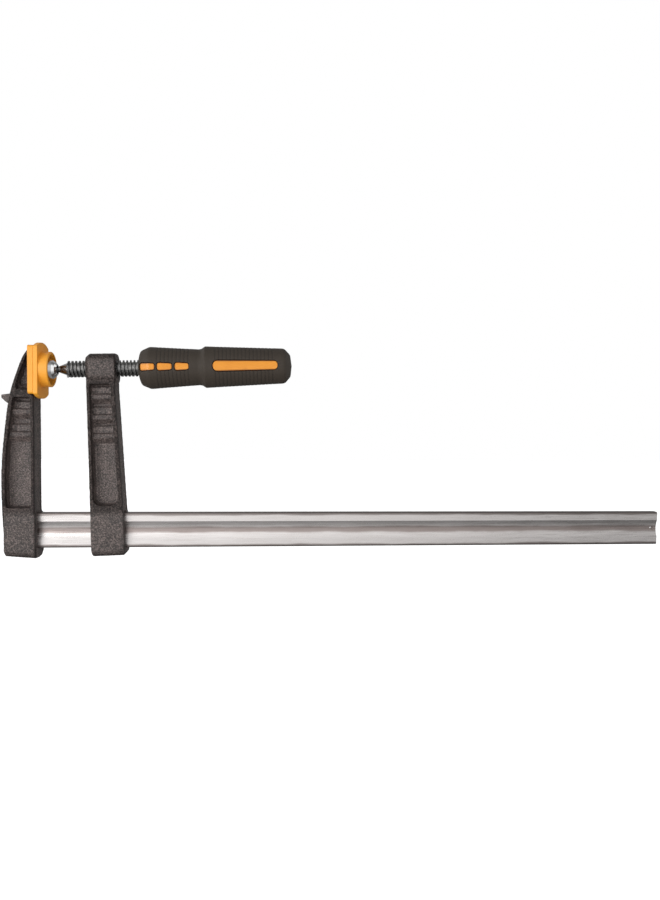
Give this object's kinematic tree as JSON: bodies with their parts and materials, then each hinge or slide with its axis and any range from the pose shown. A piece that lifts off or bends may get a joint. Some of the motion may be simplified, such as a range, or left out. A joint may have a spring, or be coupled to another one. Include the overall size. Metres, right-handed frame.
{
  "type": "f clamp",
  "caption": "Screw-driven F clamp: cast fixed jaw and sliding arm on a hollow-faced steel bar, swivel pad and two-part grip.",
  "frame": {"origin": "middle of the fixed jaw's clamping face, on the clamping line", "axes": "+X along the bar from the fixed jaw to the bar's free end, +Z from the bar towards the spindle, Y across the clamp's thickness"},
  "size_m": [0.5799, 0.0354, 0.1814],
  "materials": {
    "bar": "rolled and drawn bright steel, fine lengthwise marks",
    "fixed_jaw": "rough cast iron under black speckled paint",
    "fixed_jaw_cap": "satin orange plastic",
    "sliding_arm": "rough cast iron under black speckled paint",
    "spindle": "dark oiled steel, bright on the thread's crests",
    "ball_seat": "plain moulded bearing plastic",
    "pressure_plate": "bright zinc plate",
    "pad_cap": "satin orange plastic",
    "handle_core": "satin orange plastic",
    "handle_sleeve": "matt soft-touch rubber, fine ribs"
  },
  "bodies": {
    "rail": {"bar": "bar", "fixed_jaw": "fixed_jaw", "fixed_jaw_cap": "fixed_jaw_cap"},
    "slider": {"sliding_arm": "sliding_arm"},
    "carrier": {"ball_seat": "ball_seat"},
    "screw": {"spindle": "spindle", "handle_core": "handle_core", "handle_sleeve": "handle_sleeve"},
    "foot": {"pressure_plate": "pressure_plate", "pad_cap": "pad_cap"}
  },
  "joints": [
    {"name": "arm_slide", "type": "slide", "parent": "rail", "child": "slider", "axis": [1, 0, 0], "range_m": [0, 0.47]},
    {"name": "spindle_feed", "type": "slide", "parent": "slider", "child": "carrier", "axis": [0.9994, 0, 0.0349], "range_m": [0, 0.024]},
    {"name": "spindle_turn", "type": "hinge", "parent": "carrier", "child": "screw", "pos_m": [0.0096, 0, 0.0009], "axis": [0.9994, 0, 0.0349], "range_deg": [0, 2880.2]},
    {"name": "foot_spin", "type": "hinge", "parent": "carrier", "child": "foot", "pos_m": [0.0096, 0, 0.0009], "axis": [1, 0, 0], "continuous": true}
  ],
  "couplings": [
    {"joint": "spindle_turn", "follows": "spindle_feed", "rad_per_m": 2094.4}
  ]
}
